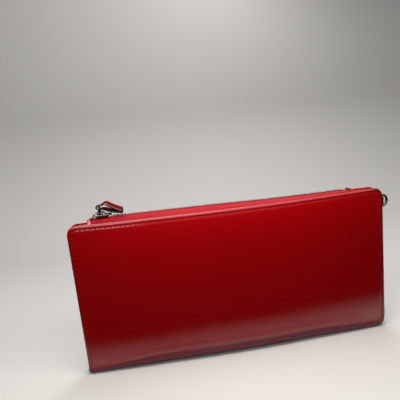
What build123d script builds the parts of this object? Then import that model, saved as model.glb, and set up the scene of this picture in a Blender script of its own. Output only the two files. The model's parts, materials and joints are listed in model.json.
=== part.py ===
from build123d import *
from functools import cache
import os

# Long leather wallet with a zipped top mouth, standing on its bottom fold.
# X runs along the length, Y from the front cover to the back cover, Z up.
# The origin is the middle of the fold, on the ground. All sizes are in millimetres.
#
# One sheet of leather makes the front cover, the bottom fold and the back cover.
# The covers hang on the fold like a book, a V-folded gusset closes each end, and a
# metal zip closes the top. Inside are card pockets on both covers and a zipped coin
# pocket on the fold. A leather tab pulls the slider; a small ring sits at the right end.

# Driving dimensions
LENGTH = 200.0          # over the covers
PANEL_TOP = 93.0        # height of the covers' top edge
MID_HALF = 9.5          # half the closed thickness at mid-length
END_HALF = 4.0          # half the closed thickness at the ends
BACK_FLAT = 100.0       # length of the back cover's flat middle
FOLD_RADIUS = 7.5       # roundness of the bottom fold
TOP_CORNER = 6.0        # corner radius of the covers, top
BOTTOM_CORNER = 4.5     # corner radius of the covers, bottom
FOLD_TOP = 8.0          # height at which the fold ends and the covers start

LEATHER = 1.2           # outer leather
BOARD = 0.5             # stiffening board inside each cover
BOARD_REACH = 93.0      # how far the board runs each way from mid-length
BOARD_LOW = 11.0
BOARD_HIGH = 84.5
LINING = 0.3            # lining fabric
LINING_REACH = 94.0
LINING_LOW = 10.0
LINING_HIGH = 85.5
POCKET = 0.4            # leather of the card pockets
BACKING_REACH = 89.0
BACKING_LOW = 12.0
BACKING_HIGH = 82.0
POCKET_REACH = 88.0
POCKET_ROWS = {"top": (56.0, 74.0), "middle": (44.0, 62.0), "bottom": (12.0, 50.0)}
GAP = 0.05              # air left between neighbouring layers

GUSSET_EDGE = 98.0      # outer edge of the gussets, from mid-length
GUSSET_LOW = 9.0
GUSSET_HIGH = 87.0
GUSSET_SHALLOW = 6.0    # how far the gusset folds in, at the bottom
GUSSET_DEEP = 26.0      # how far the gusset folds in, at the top

CHAIN_Z = 97.0          # height of the zip chain's middle at the closed slider
CHAIN_SLOPE = 0.5       # the chain falls this many degrees towards the right end
CHAIN_HALF = 1.3        # half the width between the two tape edges
TAPE = 0.5              # zip tape thickness
TAPE_REACH = 88.0       # the tapes end this far from mid-length
TAPE_FLAT = 3.6         # half width of the level part of the tapes
TAPE_FALL = 8.0         # width of the sloping part
TAPE_SLOPE = 1.35       # its fall per millimetre of width
TAPE_FOOT = 86.0        # lower edge of the part sewn behind the cover
TOOTH_PITCH = 2.2
TOOTH_HEIGHT = 1.8
TOOTH_LAP = 0.35        # how far a tooth reaches past the middle of the chain
TOOTH_FILL = 0.42       # share of the pitch that a tooth fills

SLIDER_X = -78.0        # middle of the closed slider
SLIDER_TRAVEL = 150.0   # from closed to open
SLIDER_LENGTH = 11.2
SLIDER_HALF = 3.3       # half its width
SLIDER_ROOM = 1.05      # room for the chain above and below its middle
PLATE = 0.9             # thickness of a slider's plates
SLIDER_WALL = 0.4       # thickness of a slider's side walls
STOP_GAP = 6.7          # from the middle of the slider to a stop
STOP_HALF = 0.9         # half length of a stop
STOP_LOW = 0.3          # a stop's underside above the chain's middle
STOP_HIGH = 1.1

BAIL_LENGTH = 6.8       # bridge on the slider
BAIL_RISE = 2.4
BAIL_HALF = 0.8
BAIL_OPENING = 2.6      # length of the opening under the bridge
BAIL_HEADROOM = 1.8     # its height
LINK_X = -79.2          # bar of the pull link, in the bridge
LINK_LIFT = 0.95        # that bar above the slider's top
LINK_WIRE = 0.5
LINK_REACH = 3.6        # between the link's two bars
LINK_TILT = -10.0       # resting lean of the link, in degrees
LINK_HALF = 3.2         # half the link's width
TAB_HALF = 2.6          # half the width of the leather tab
TAB_LAYER = 1.15        # each of its two layers
TAB_SKIVED = 0.75       # the same leather where it is thinned round the link
TAB_PLAY = 0.1          # air between tab and link
TAB_BEND = (5.2, 2.4)   # top of the bend, along and up from the link's bar
TAB_END = (14.0, -2.1)
TAB_BEND_RADIUS = 1.6
TAB_NECK = 0.22         # share of the way to the bend where the strip reaches its full thickness

COIN_REACH = 66.0       # half length of the coin pocket
COIN_HALF = 2.4         # half its thickness
COIN_LOW = 12.0
COIN_TOP = 79.0
COIN_WALL = 0.6
COIN_END = 1.5          # thickness of its end seams
COIN_BOTTOM = 2.0       # thickness of its bottom seam
COIN_CHAIN_Z = 80.6
COIN_TAPE = 0.4
COIN_TAPE_REACH = 63.0
COIN_FLANGE = 6.0       # depth of the tape sewn inside the wall
COIN_CHAIN_HALF = 0.8
COIN_PITCH = 2.0
COIN_TOOTH_HEIGHT = 1.2
COIN_SLIDER_X = -54.0
COIN_SLIDER_LENGTH = 7.0
COIN_SLIDER_HALF = 1.4
COIN_SLIDER_ROOM = 0.75
COIN_BAIL_LENGTH = 3.2
COIN_BAIL_RISE = 2.0
COIN_BAIL_HALF = 0.5
COIN_BAIL_OPENING = 1.8
COIN_BAIL_HEADROOM = 1.4
COIN_PULL_LIFT = 0.7    # bar of the coin pull above its slider's top
COIN_PULL_LENGTH = 9.0
COIN_PULL_WIDTH = 3.0
COIN_PULL_SHEET = 0.6
COIN_PULL_BAR = 0.4     # radius of its bar

RING_X = 101.3          # straight bar of the side ring
RING_Z = 85.5
RING_RADIUS = 3.8
RING_WIRE = 0.8
KEEPER_LEATHER = 0.7    # leather strip round the ring's bar
KEEPER_PLAY = 0.1
KEEPER_END = 92.5       # where the strip ends, between the gusset's legs
KEEPER_TAIL = 1.3       # thickness of its two ends together

ROOM = 400.0            # larger than the whole wallet, for cutting tools

front_sagitta = MID_HALF - END_HALF
front_radius = ((LENGTH / 2) ** 2 + front_sagitta**2) / (2 * front_sagitta)
back_run = (LENGTH - BACK_FLAT) / 2
back_radius = (back_run**2 + front_sagitta**2) / (2 * front_sagitta)


def block(x0, x1, y0, y1, z0, z1):
    """A box between two corners."""
    middle = ((x0 + x1) / 2, (y0 + y1) / 2, (z0 + z1) / 2)
    return Pos(*middle) * Box(x1 - x0, y1 - y0, z1 - z0)


def along_x(points, x0, x1):
    """A prism along X whose outline is given in (y, z)."""
    face = Plane.YZ.offset(x0) * make_face(Polyline(*points, close=True))
    return extrude(face, x1 - x0)


def along_y(face, y0, y1):
    """A face drawn in (x, z), made solid from y0 to y1."""
    return extrude(Plane.XZ.offset(-y0) * face, -(y1 - y0))


@cache
def envelope(inset):
    """The closed wallet's outer form, moved inwards by inset. It is open upwards and endwise."""
    bulge = Pos(0, front_radius - MID_HALF) * Circle(front_radius - inset)
    flat_back = Pos(0, MID_HALF - back_radius) * SlotCenterToCenter(BACK_FLAT, 2 * (back_radius - inset))
    plan = extrude(bulge & flat_back, ROOM / 2)
    half = MID_HALF - inset
    trough = Pos(0, inset + ROOM / 4) * Rectangle(2 * half, ROOM / 2)
    corners = trough.vertices().group_by(Axis.Y)[0]
    trough = fillet(corners, FOLD_RADIUS - inset)
    tunnel = extrude(Plane.YZ.offset(-ROOM / 2) * trough, ROOM)
    return plan & tunnel


def outline(inset):
    """The covers' front view with its rounded corners, moved inwards by inset, as a cutting tool."""
    width = LENGTH - 2 * inset
    height = PANEL_TOP - inset
    sheet = Pos(0, height / 2) * Rectangle(width, height)
    rows = sheet.vertices().group_by(Axis.Y)
    sheet = fillet(rows[-1], TOP_CORNER)
    low = sheet.vertices().group_by(Axis.Y)[0]
    sheet = fillet(low, BOTTOM_CORNER)
    return along_y(sheet, -ROOM / 4, ROOM / 4)


def layer(outer, thickness):
    """A sheet that follows the envelope, from depth outer inwards."""
    return envelope(outer) - envelope(outer + thickness)


FRONT = block(-ROOM, ROOM, -ROOM, 0, 0, ROOM)
BACK = block(-ROOM, ROOM, 0, ROOM, 0, ROOM)


# Covers and fold ---------------------------------------------------------------------------

@cache
def skin():
    return layer(0, LEATHER) & outline(0)


def cover_skin(side):
    return skin() & side & block(-ROOM, ROOM, -ROOM, ROOM, FOLD_TOP + GAP, ROOM)


def spine_fold():
    return skin() & block(-ROOM, ROOM, -ROOM, ROOM, 0, FOLD_TOP)


def cover_sheet(side, depth, thickness, reach, low, high):
    """A sheet inside a cover: at a depth, out to reach each way, from low to high."""
    window = block(-reach, reach, -ROOM, ROOM, low, high)
    return layer(depth, thickness) & side & window


board_depth = LEATHER + GAP
lining_depth = board_depth + BOARD + GAP
backing_depth = lining_depth + LINING + GAP
pocket_depths = [backing_depth + POCKET + GAP + row * (POCKET + GAP) for row in range(3)]


def cover_parts(name, side):
    """Every fixed sheet of one cover, by node name."""
    parts = {
        f"outer_{name}_panel": cover_skin(side),
        f"{name}_stiffener_board": cover_sheet(side, board_depth, BOARD, BOARD_REACH, BOARD_LOW, BOARD_HIGH),
        f"{name}_lining": cover_sheet(side, lining_depth, LINING, LINING_REACH, LINING_LOW, LINING_HIGH),
        f"{name}_card_backing": cover_sheet(
            side, backing_depth, POCKET, BACKING_REACH, BACKING_LOW, BACKING_HIGH
        ),
    }
    for depth, (row, (low, high)) in zip(pocket_depths, POCKET_ROWS.items()):
        parts[f"{name}_card_pocket_{row}"] = cover_sheet(side, depth, POCKET, POCKET_REACH, low, high)
    return parts


# Gussets -----------------------------------------------------------------------------------

def gusset_section(depth, z):
    """The V fold seen from above: flanges against the covers, legs running in to the fold."""
    flange = END_HALF - LEATHER - 2 * GAP
    leather = 0.6
    tip = GUSSET_EDGE - depth
    outer_line = [
        (GUSSET_EDGE, -flange),
        (GUSSET_EDGE - 1.5, -1.5),
        (tip, -leather / 2 - GAP),
    ]
    inner_line = [
        (GUSSET_EDGE - 1.1, -1.0),
        (GUSSET_EDGE, -flange + leather),
    ]
    outer_back = [(x, -y) for x, y in reversed(outer_line)]
    inner_back = [(x, -y) for x, y in reversed(inner_line)]
    notch = [(tip + 1.5, 0)]
    points = outer_line + outer_back + inner_back + notch + inner_line
    return Pos(0, 0, z) * make_face(Polyline(*points, close=True))


def gusset(sign):
    """One end gusset, shallow at the fold and deep at the top."""
    low = gusset_section(GUSSET_SHALLOW, GUSSET_LOW)
    high = gusset_section(GUSSET_DEEP, GUSSET_HIGH)
    solid = loft([low, high], ruled=True)
    return solid if sign > 0 else mirror(solid, Plane.YZ)


# Zip chains --------------------------------------------------------------------------------

# The main chain and all that runs on it are drawn level, then tipped about the closed slider.
on_slope = Pos(SLIDER_X, 0, CHAIN_Z) * Rot(0, CHAIN_SLOPE, 0) * Pos(-SLIDER_X, 0, -CHAIN_Z)


def main_tape(side, sign):
    """A tape: sewn flat behind the cover's top edge, then sloping up to the chain and level there."""

    def under(lower):
        """Everything from the tape's top, moved down by lower, to well under its foot."""
        ridge = CHAIN_Z + TAPE / 2 - lower
        bottom = TAPE_FOOT - TAPE_FALL
        flat = TAPE_FLAT - lower / 2
        points = [
            (sign * CHAIN_HALF, bottom),
            (sign * CHAIN_HALF, ridge),
            (sign * flat, ridge),
            (sign * (flat + TAPE_FALL), ridge - TAPE_SLOPE * TAPE_FALL),
            (sign * (flat + TAPE_FALL), bottom),
        ]
        return on_slope * along_x(points, -TAPE_REACH, TAPE_REACH)

    above_foot = block(-ROOM, ROOM, -ROOM, ROOM, TAPE_FOOT, ROOM)
    roof = (under(0) - under(TAPE)) & envelope(board_depth)
    flange = under(0) & layer(board_depth, POCKET) & side & above_foot
    return roof + flange


def teeth(start, end, pitch, chain_z, reach, height, sign, phase):
    """One row of zip teeth as separate blocks. The other row sits half a pitch along."""
    row = []
    for index in range(int((end - start) / pitch)):
        x = start + (index + phase) * pitch
        ends = sorted([-TOOTH_LAP * sign, (reach - GAP) * sign])
        row.append(block(x, x + TOOTH_FILL * pitch, *ends, chain_z - height / 2, chain_z + height / 2))
    return Compound(children=row)


def slider(x, chain_z, length, half_width, room):
    """Two plates with a wedge between them, and side walls that leave a slot for the tapes."""
    flat = Pos(x, 0) * RectangleRounded(length, 2 * half_width, half_width * 0.45)
    upper = extrude(Plane.XY.offset(chain_z + room) * flat, PLATE)
    lower = extrude(Plane.XY.offset(chain_z - room - PLATE) * flat, PLATE)
    wedge_radius = 0.85
    wedge = Pos(x - length / 2 + 2 * wedge_radius, 0, chain_z) * Cylinder(wedge_radius, 2 * room)
    solid = upper + lower + wedge
    slot = TAPE / 2 + 0.15
    run = length / 2 - half_width / 2
    for side in (-1, 1):
        ends = sorted([side * half_width, side * (half_width - SLIDER_WALL)])
        solid += block(x - run, x + run, *ends, chain_z + slot, chain_z + room)
        solid += block(x - run, x + run, *ends, chain_z - room, chain_z - slot)
    return solid


slider_top = CHAIN_Z + SLIDER_ROOM + PLATE
link_z = slider_top + LINK_LIFT


def slider_bail():
    """The bridge on the slider that holds the pull link: a low arch with one opening."""
    arch = Pos(LINK_X, slider_top) * Ellipse(BAIL_LENGTH / 2, BAIL_RISE)
    arch &= Pos(LINK_X, slider_top + ROOM / 2) * Rectangle(ROOM, ROOM)
    opening = Pos(LINK_X, slider_top + BAIL_HEADROOM / 2) * Rectangle(BAIL_OPENING, BAIL_HEADROOM)
    return along_y(arch - opening, -BAIL_HALF, BAIL_HALF)


def at_link(solid):
    """Puts a shape drawn with the link upright at the origin into its resting tilt."""
    return Pos(LINK_X, 0, link_z) * Rot(0, LINK_TILT, 0) * solid


def pull_link():
    """A wire frame: one bar under the bail, one bar through the leather tab."""
    low_bar = Rot(90, 0, 0) * Cylinder(LINK_WIRE, 2 * LINK_HALF)
    solid = low_bar + Pos(0, 0, LINK_REACH) * low_bar
    for y in (-LINK_HALF, LINK_HALF):
        solid += Pos(0, y, LINK_REACH / 2) * Cylinder(LINK_WIRE, LINK_REACH)
        for z in (0, LINK_REACH):
            solid += Pos(0, y, z) * Sphere(LINK_WIRE)
    return at_link(solid)


def pull_tab():
    """A doubled leather strip: round the link's bar, up to a bend, then down to its end."""
    pivot = at_link(Pos(0, 0, LINK_REACH) * Sphere(LINK_WIRE)).center()
    hole_radius = LINK_WIRE + TAB_PLAY
    eye_radius = hole_radius + TAB_SKIVED
    bend_x, bend_z = TAB_BEND
    strip_start = (bend_x * TAB_NECK, bend_z * TAB_NECK)
    path = Polyline(strip_start, TAB_BEND, TAB_END)
    path = fillet(path.vertices().sort_by(Axis.X)[1], TAB_BEND_RADIUS)
    neck = Line((0, 0), (bend_x / 2, bend_z / 2))
    face = trace(path, 2 * TAB_LAYER) + trace(neck, 2 * TAB_SKIVED) + Circle(eye_radius)
    face -= Circle(hole_radius)
    return along_y(Pos(pivot.X, pivot.Z) * face, -TAB_HALF, TAB_HALF)


def zip_top_stop(sign):
    """The clip on the end of one tape that stops the closed slider."""
    x, y, half_width = SLIDER_X - STOP_GAP, sign * 1.9, 0.5
    ends = (y - half_width, y + half_width)
    return block(x - STOP_HALF, x + STOP_HALF, *ends, CHAIN_Z + STOP_LOW, CHAIN_Z + STOP_HIGH)


def zip_bottom_stop():
    """The clip across both tapes that stops the open slider."""
    x, half_width = SLIDER_X + SLIDER_TRAVEL + STOP_GAP, 2.0
    return block(
        x - STOP_HALF, x + STOP_HALF, -half_width, half_width, CHAIN_Z + STOP_LOW, CHAIN_Z + STOP_HIGH
    )


# Coin pocket -------------------------------------------------------------------------------

def coin_wall(sign):
    """Half of the coin pocket: a shallow tray, open at the top."""
    tray = block(-COIN_REACH, COIN_REACH, GAP / 2, COIN_HALF, COIN_LOW, COIN_TOP)
    inner_reach = COIN_REACH - COIN_END
    inner_half = COIN_HALF - COIN_WALL
    tray -= block(-inner_reach, inner_reach, -GAP, inner_half, COIN_LOW + COIN_BOTTOM, ROOM)
    return tray if sign > 0 else mirror(tray, Plane.XZ)


def coin_tape(sign):
    """A level tape on top of the pocket wall, with a flange sewn inside it."""
    outer = COIN_HALF - COIN_WALL - GAP
    low, high = COIN_CHAIN_Z - COIN_TAPE / 2, COIN_CHAIN_Z + COIN_TAPE / 2
    flat = block(-COIN_TAPE_REACH, COIN_TAPE_REACH, COIN_CHAIN_HALF, outer, low, high)
    inner = outer - LINING
    flange = block(-COIN_TAPE_REACH, COIN_TAPE_REACH, inner, outer, COIN_TOP - COIN_FLANGE, high)
    solid = flat + flange
    return solid if sign > 0 else mirror(solid, Plane.XZ)


coin_slider_top = COIN_CHAIN_Z + COIN_SLIDER_ROOM + PLATE


def coin_slider():
    """The small slider with its own fixed bridge."""
    body = slider(COIN_SLIDER_X, COIN_CHAIN_Z, COIN_SLIDER_LENGTH, COIN_SLIDER_HALF, COIN_SLIDER_ROOM)
    arch = Pos(COIN_SLIDER_X, coin_slider_top) * Ellipse(COIN_BAIL_LENGTH / 2, COIN_BAIL_RISE)
    arch &= Pos(COIN_SLIDER_X, coin_slider_top + ROOM / 2) * Rectangle(ROOM, ROOM)
    middle = Pos(COIN_SLIDER_X, coin_slider_top + COIN_BAIL_HEADROOM / 2)
    arch -= middle * Rectangle(COIN_BAIL_OPENING, COIN_BAIL_HEADROOM)
    return body + along_y(arch, -COIN_BAIL_HALF, COIN_BAIL_HALF)


def coin_pull():
    """A flat metal tag whose bar runs under the small bridge."""
    bar = Rot(90, 0, 0) * Cylinder(COIN_PULL_BAR, COIN_PULL_WIDTH)
    sheet = Pos(COIN_PULL_LENGTH / 2, 0) * RectangleRounded(COIN_PULL_LENGTH, COIN_PULL_WIDTH, 1.2)
    sheet -= Pos(2.0, 0) * RectangleRounded(4.4, 1.8, 0.6)
    tag = extrude(Plane.XY.offset(-COIN_PULL_SHEET / 2) * sheet, COIN_PULL_SHEET)
    return Pos(COIN_SLIDER_X, 0, coin_slider_top + COIN_PULL_LIFT) * (bar + tag)


# Side ring ---------------------------------------------------------------------------------

def side_ring():
    """A D-shaped wire ring; its straight bar is the hinge."""
    reach = 2 * RING_RADIUS
    hoop = Pos(RING_X, 0, RING_Z) * Rot(90, 0, 0) * Torus(RING_RADIUS, RING_WIRE)
    bow = hoop & block(RING_X, RING_X + reach, -reach, reach, RING_Z - reach, RING_Z + reach)
    solid = bow + Pos(RING_X, 0, RING_Z) * Cylinder(RING_WIRE, 2 * RING_RADIUS)
    for side in (-1, 1):
        solid += Pos(RING_X, 0, RING_Z + side * RING_RADIUS) * Sphere(RING_WIRE)
    return solid


def ring_keeper():
    """A leather strip folded round the ring's bar, its ends sewn in between the gusset's legs."""
    inner = RING_WIRE + KEEPER_PLAY
    outer = inner + KEEPER_LEATHER
    half = RING_RADIUS - RING_WIRE - KEEPER_LEATHER
    eye = Pos(RING_X, 0) * Circle(outer)
    tail = Pos((RING_X + KEEPER_END) / 2, 0) * Rectangle(RING_X - KEEPER_END, KEEPER_TAIL)
    face = eye + tail - Pos(RING_X, 0) * Circle(inner)
    return extrude(Plane.XY.offset(RING_Z - half) * face, 2 * half)


# Assembly ----------------------------------------------------------------------------------

chain_start = SLIDER_X + SLIDER_LENGTH / 2
chain_end = SLIDER_X + SLIDER_TRAVEL + 4.0
coin_start = COIN_SLIDER_X + 4.0
coin_end = COIN_REACH - 6.0


def main_teeth(sign, phase):
    return teeth(chain_start, chain_end, TOOTH_PITCH, CHAIN_Z, CHAIN_HALF, TOOTH_HEIGHT, sign, phase)


def coin_teeth(sign, phase):
    return teeth(
        coin_start, coin_end, COIN_PITCH, COIN_CHAIN_Z, COIN_CHAIN_HALF, COIN_TOOTH_HEIGHT, sign, phase
    )


nodes = {
    "spine_fold": spine_fold(),
    **cover_parts("front", FRONT),
    **cover_parts("back", BACK),
    "left_gusset": gusset(-1),
    "right_gusset": gusset(1),
    "front_zip_tape": main_tape(FRONT, -1),
    "back_zip_tape": main_tape(BACK, 1),
    "front_zip_teeth": on_slope * main_teeth(-1, 0),
    "back_zip_teeth": on_slope * main_teeth(1, 0.5),
    "front_zip_top_stop": on_slope * zip_top_stop(-1),
    "back_zip_top_stop": on_slope * zip_top_stop(1),
    "zip_bottom_stop": on_slope * zip_bottom_stop(),
    "slider_body": on_slope * slider(SLIDER_X, CHAIN_Z, SLIDER_LENGTH, SLIDER_HALF, SLIDER_ROOM),
    "slider_bail": on_slope * slider_bail(),
    "pull_link": on_slope * pull_link(),
    "pull_tab": on_slope * pull_tab(),
    "coin_front_wall": coin_wall(-1),
    "coin_back_wall": coin_wall(1),
    "coin_front_tape": coin_tape(-1),
    "coin_back_tape": coin_tape(1),
    "coin_front_teeth": coin_teeth(-1, 0),
    "coin_back_teeth": coin_teeth(1, 0.5),
    "coin_slider": coin_slider(),
    "coin_pull": coin_pull(),
    "side_ring": side_ring(),
    "ring_keeper": ring_keeper(),
}

os.makedirs("parts", exist_ok=True)
for name, shape in nodes.items():
    export_step(shape, f"parts/{name}.step")
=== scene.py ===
import json
import math

import bpy
import numpy as np
from mathutils import Matrix, Vector


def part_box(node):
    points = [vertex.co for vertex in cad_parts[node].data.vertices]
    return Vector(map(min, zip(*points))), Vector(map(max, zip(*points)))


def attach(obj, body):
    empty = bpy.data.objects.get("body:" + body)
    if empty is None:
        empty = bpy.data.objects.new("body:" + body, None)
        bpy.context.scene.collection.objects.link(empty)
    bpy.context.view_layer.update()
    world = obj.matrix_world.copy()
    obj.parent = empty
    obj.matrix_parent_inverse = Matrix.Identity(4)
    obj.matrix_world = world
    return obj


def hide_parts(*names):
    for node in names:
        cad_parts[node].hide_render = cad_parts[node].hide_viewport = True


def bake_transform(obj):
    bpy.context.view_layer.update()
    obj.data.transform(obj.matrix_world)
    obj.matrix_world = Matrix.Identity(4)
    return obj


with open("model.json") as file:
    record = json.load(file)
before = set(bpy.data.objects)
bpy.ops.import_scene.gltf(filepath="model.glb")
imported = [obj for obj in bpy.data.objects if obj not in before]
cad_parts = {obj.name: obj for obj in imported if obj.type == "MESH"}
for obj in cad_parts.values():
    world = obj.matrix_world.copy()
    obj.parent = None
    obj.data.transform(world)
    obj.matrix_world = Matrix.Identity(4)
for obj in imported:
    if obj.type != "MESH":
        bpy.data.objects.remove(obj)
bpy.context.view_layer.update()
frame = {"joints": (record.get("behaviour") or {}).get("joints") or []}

# A long red leather wallet with a zipped top. Lengths in this script are millimetres, in the frame
# of the CAD: X along the length, Y from the front cover to the back cover, Z up. Meshes are scaled
# to metres when they are made.

MM = 0.001
rng = np.random.default_rng(7)


def node_box(node):
    """A CAD node's lowest and highest corners, in millimetres."""
    low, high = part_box(node)
    return np.array(low) / MM, np.array(high) / MM


def joint_place(name):
    """A joint's place, in millimetres."""
    joint = next(j for j in frame["joints"] if j["name"] == name)
    return np.array(joint["pos_m"]) / MM


# Sizes, where possible read from the frame ----------------

front_low, front_high = node_box("outer_front_panel")
HALF_LENGTH = front_high[0]
PANEL_TOP = front_high[2]
MID_HALF = -front_low[1]
LEATHER = 1.2
RIM = 0.2
END_HALF = -front_high[1] + LEATHER
BACK_FLAT = HALF_LENGTH / 2  # the back cover is flat up to here
FOLD_RADIUS = 7.5
FOLD_RISE = 9.6
FOLD_DROP = 6.2  # how far the fold comes down towards the ends
FOLD_RUN = 72.0
TOP_CORNER = 6.0
BOTTOM_CORNER_LEFT = 2.5
BOTTOM_CORNER_RIGHT = 8.0

CHAIN_SLOPE = math.tan(math.radians(0.5))
CHAIN_HALF = 1.3
CHAIN_LEFT, CHAIN_RIGHT = -85.0, 79.0  # the chain drops behind the covers beyond these
TAPE_FOOT = 86.0
# The film's pale pink colour is partly a painted highlight.
FILM_GLINT_LEFT, FILM_GLINT_RIGHT = -86.9, -85.3  # glossy film on the tape's end
TOOTH_PITCH = 2.2
PLATE = 0.9

slider_low, slider_high = node_box("slider_body")
SLIDER_X = (slider_low[0] + slider_high[0]) / 2
CHAIN_Z = (slider_low[2] + slider_high[2]) / 2
LINK_PIVOT = joint_place("pull_link_swing")
TAB_PIVOT = joint_place("pull_tab_swing")
RING_PIVOT = joint_place("side_ring_swing")
ring_low, ring_high = node_box("side_ring")
RING_WIRE = (ring_high[1] - ring_low[1]) / 2
RING_RADIUS = (ring_high[2] - ring_low[2]) / 2 - RING_WIRE

STITCH_INSET = 2.9
CREASE_INSET = 2.15
STITCH_PITCH = 3.0
STITCH_SLANT = 8.0
SEAM_FOOT = 5.5
LEAN = 1.3  # how far the top edge leans in towards the zip
LEAN_HEIGHT = 17.0
LEFT_DRAW = 0.0125  # shares of the length that the cover loses along the fold
RIGHT_DRAW = 0.0187
RIGHT_SPREAD = 0.006
MOUTH_SHUT_X = 92.0


# Shape of the closed wallet -------------------------------

def front_half(x):
    """Distance of the front cover's face from the mid-plane."""
    return MID_HALF - (MID_HALF - END_HALF) * (x / HALF_LENGTH) ** 2


def back_half(x):
    """Distance of the back cover's face from the mid-plane. It is flat around mid-length."""
    run = np.clip(np.abs(x) - BACK_FLAT, 0, None) / (HALF_LENGTH - BACK_FLAT)
    return MID_HALF - (MID_HALF - END_HALF) * run**2


def half_of(side, x):
    return front_half(x) if side < 0 else back_half(x)


def fold_rise(x):
    """Height where the fold's curve starts. It comes down towards both ends."""
    return FOLD_RISE - FOLD_DROP * (1 - smooth((HALF_LENGTH + 12 - np.abs(x)) / FOLD_RUN))


def reach(x, z, inset=0.0):
    """Half the cover's length at height z, with the outline's rounded corners."""
    top = TOP_CORNER - inset
    rise = np.clip(z - (PANEL_TOP - TOP_CORNER), 0, top)
    corner = np.where(x < 0, BOTTOM_CORNER_LEFT, BOTTOM_CORNER_RIGHT)
    low = corner - inset
    drop = np.clip(corner - z, 0, low)
    cut = (top - np.sqrt(top**2 - rise**2)) + (low - np.sqrt(low**2 - drop**2))
    return HALF_LENGTH - inset - cut


def edge_distance(x, z):
    """Distance from a point of a cover to the cover's outline."""
    across = HALF_LENGTH - np.abs(x)
    down = PANEL_TOP - z
    corner = TOP_CORNER - np.hypot(TOP_CORNER - across, TOP_CORNER - down)
    in_corner = (across < TOP_CORNER) & (down < TOP_CORNER)
    return np.minimum(np.where(in_corner, corner, np.minimum(across, down)), reach(x, z) - np.abs(x))


def smooth(t):
    t = np.clip(t, 0, 1)
    return t * t * (3 - 2 * t)


def top_rise(x):
    """The soft top edge stands a little higher towards the ends."""
    return 1.0 + 0.7 * (x / HALF_LENGTH) ** 2 + 0.3 * smooth(x / 90)


def lifted(x, z):
    """Height of a point of the cover once its top edge is raised."""
    return z + top_rise(x) * np.clip(z / PANEL_TOP, 0, 1) ** 2


def lean(x, z):
    """How far a cover leans in towards the zip near its top edge."""
    share = (front_half(x) - END_HALF + 1.0) / (MID_HALF - END_HALF + 1.0)
    return LEAN * share * np.clip((z - PANEL_TOP + LEAN_HEIGHT) / LEAN_HEIGHT, 0, 1) ** 2


def drawn_in(x, z):
    """The cover is a little shorter along the fold than along the zip."""
    below = 1 - np.clip(z / PANEL_TOP, 0, 1)
    return x * (1 - np.where(x < 0, LEFT_DRAW * below, RIGHT_DRAW * below - RIGHT_SPREAD))


def relief(x, z):
    """Height of the leather above the plain cover: turned edge, crease, sunk seam and slow waves."""
    edge = edge_distance(x, z)
    turn = np.clip(1 - (edge - RIM) / 1.8, 0, 1)
    turned = -1.0 * (1 - np.sqrt(1 - turn**2 * 0.96)) * smooth((z - 1) / 5)
    crease = -0.26 * np.exp(-(((edge - CREASE_INSET) / np.where(edge < CREASE_INSET, 0.25, 0.8)) ** 2))
    seam = -0.05 * np.exp(-(((edge - STITCH_INSET) / 0.6) ** 2))
    along = np.where(PANEL_TOP - z < HALF_LENGTH - np.abs(x), x, z)
    near_seam = np.exp(-(((edge - STITCH_INSET) / 1.1) ** 2))
    pucker = 0.02 * np.cos(2 * math.pi * along / STITCH_PITCH) * near_seam
    seam_part = smooth((z - SEAM_FOOT + 2) / 4)
    roll = 0.32 * np.exp(-(((z - fold_rise(x)) / 1.4) ** 2))
    inner = smooth((edge - 4) / 20)
    waves = 0.16 * np.sin(x / 31 + 0.7) * np.sin(z / 23 + 0.4) + 0.07 * np.sin(x / 13 + z / 17)
    return (crease + seam + pucker) * seam_part + waves * inner + turned + roll


# Mesh helpers ---------------------------------------------

def new_object(name, points, faces, materials):
    """A mesh object from points in millimetres."""
    mesh = bpy.data.meshes.new(name)
    mesh.from_pydata((np.asarray(points, float) * MM).tolist(), [], [list(map(int, f)) for f in faces])
    mesh.validate()
    for material in materials:
        mesh.materials.append(material)
    mesh.shade_smooth()
    obj = bpy.data.objects.new(name, mesh)
    bpy.context.scene.collection.objects.link(obj)
    return obj


def grid_normals(grid):
    """Unit normals of a grid of points, by rows then columns."""
    down = np.gradient(grid, axis=0)
    along = np.gradient(grid, axis=1)
    normal = np.cross(down, along)
    return normal / np.linalg.norm(normal, axis=2, keepdims=True)


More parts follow.
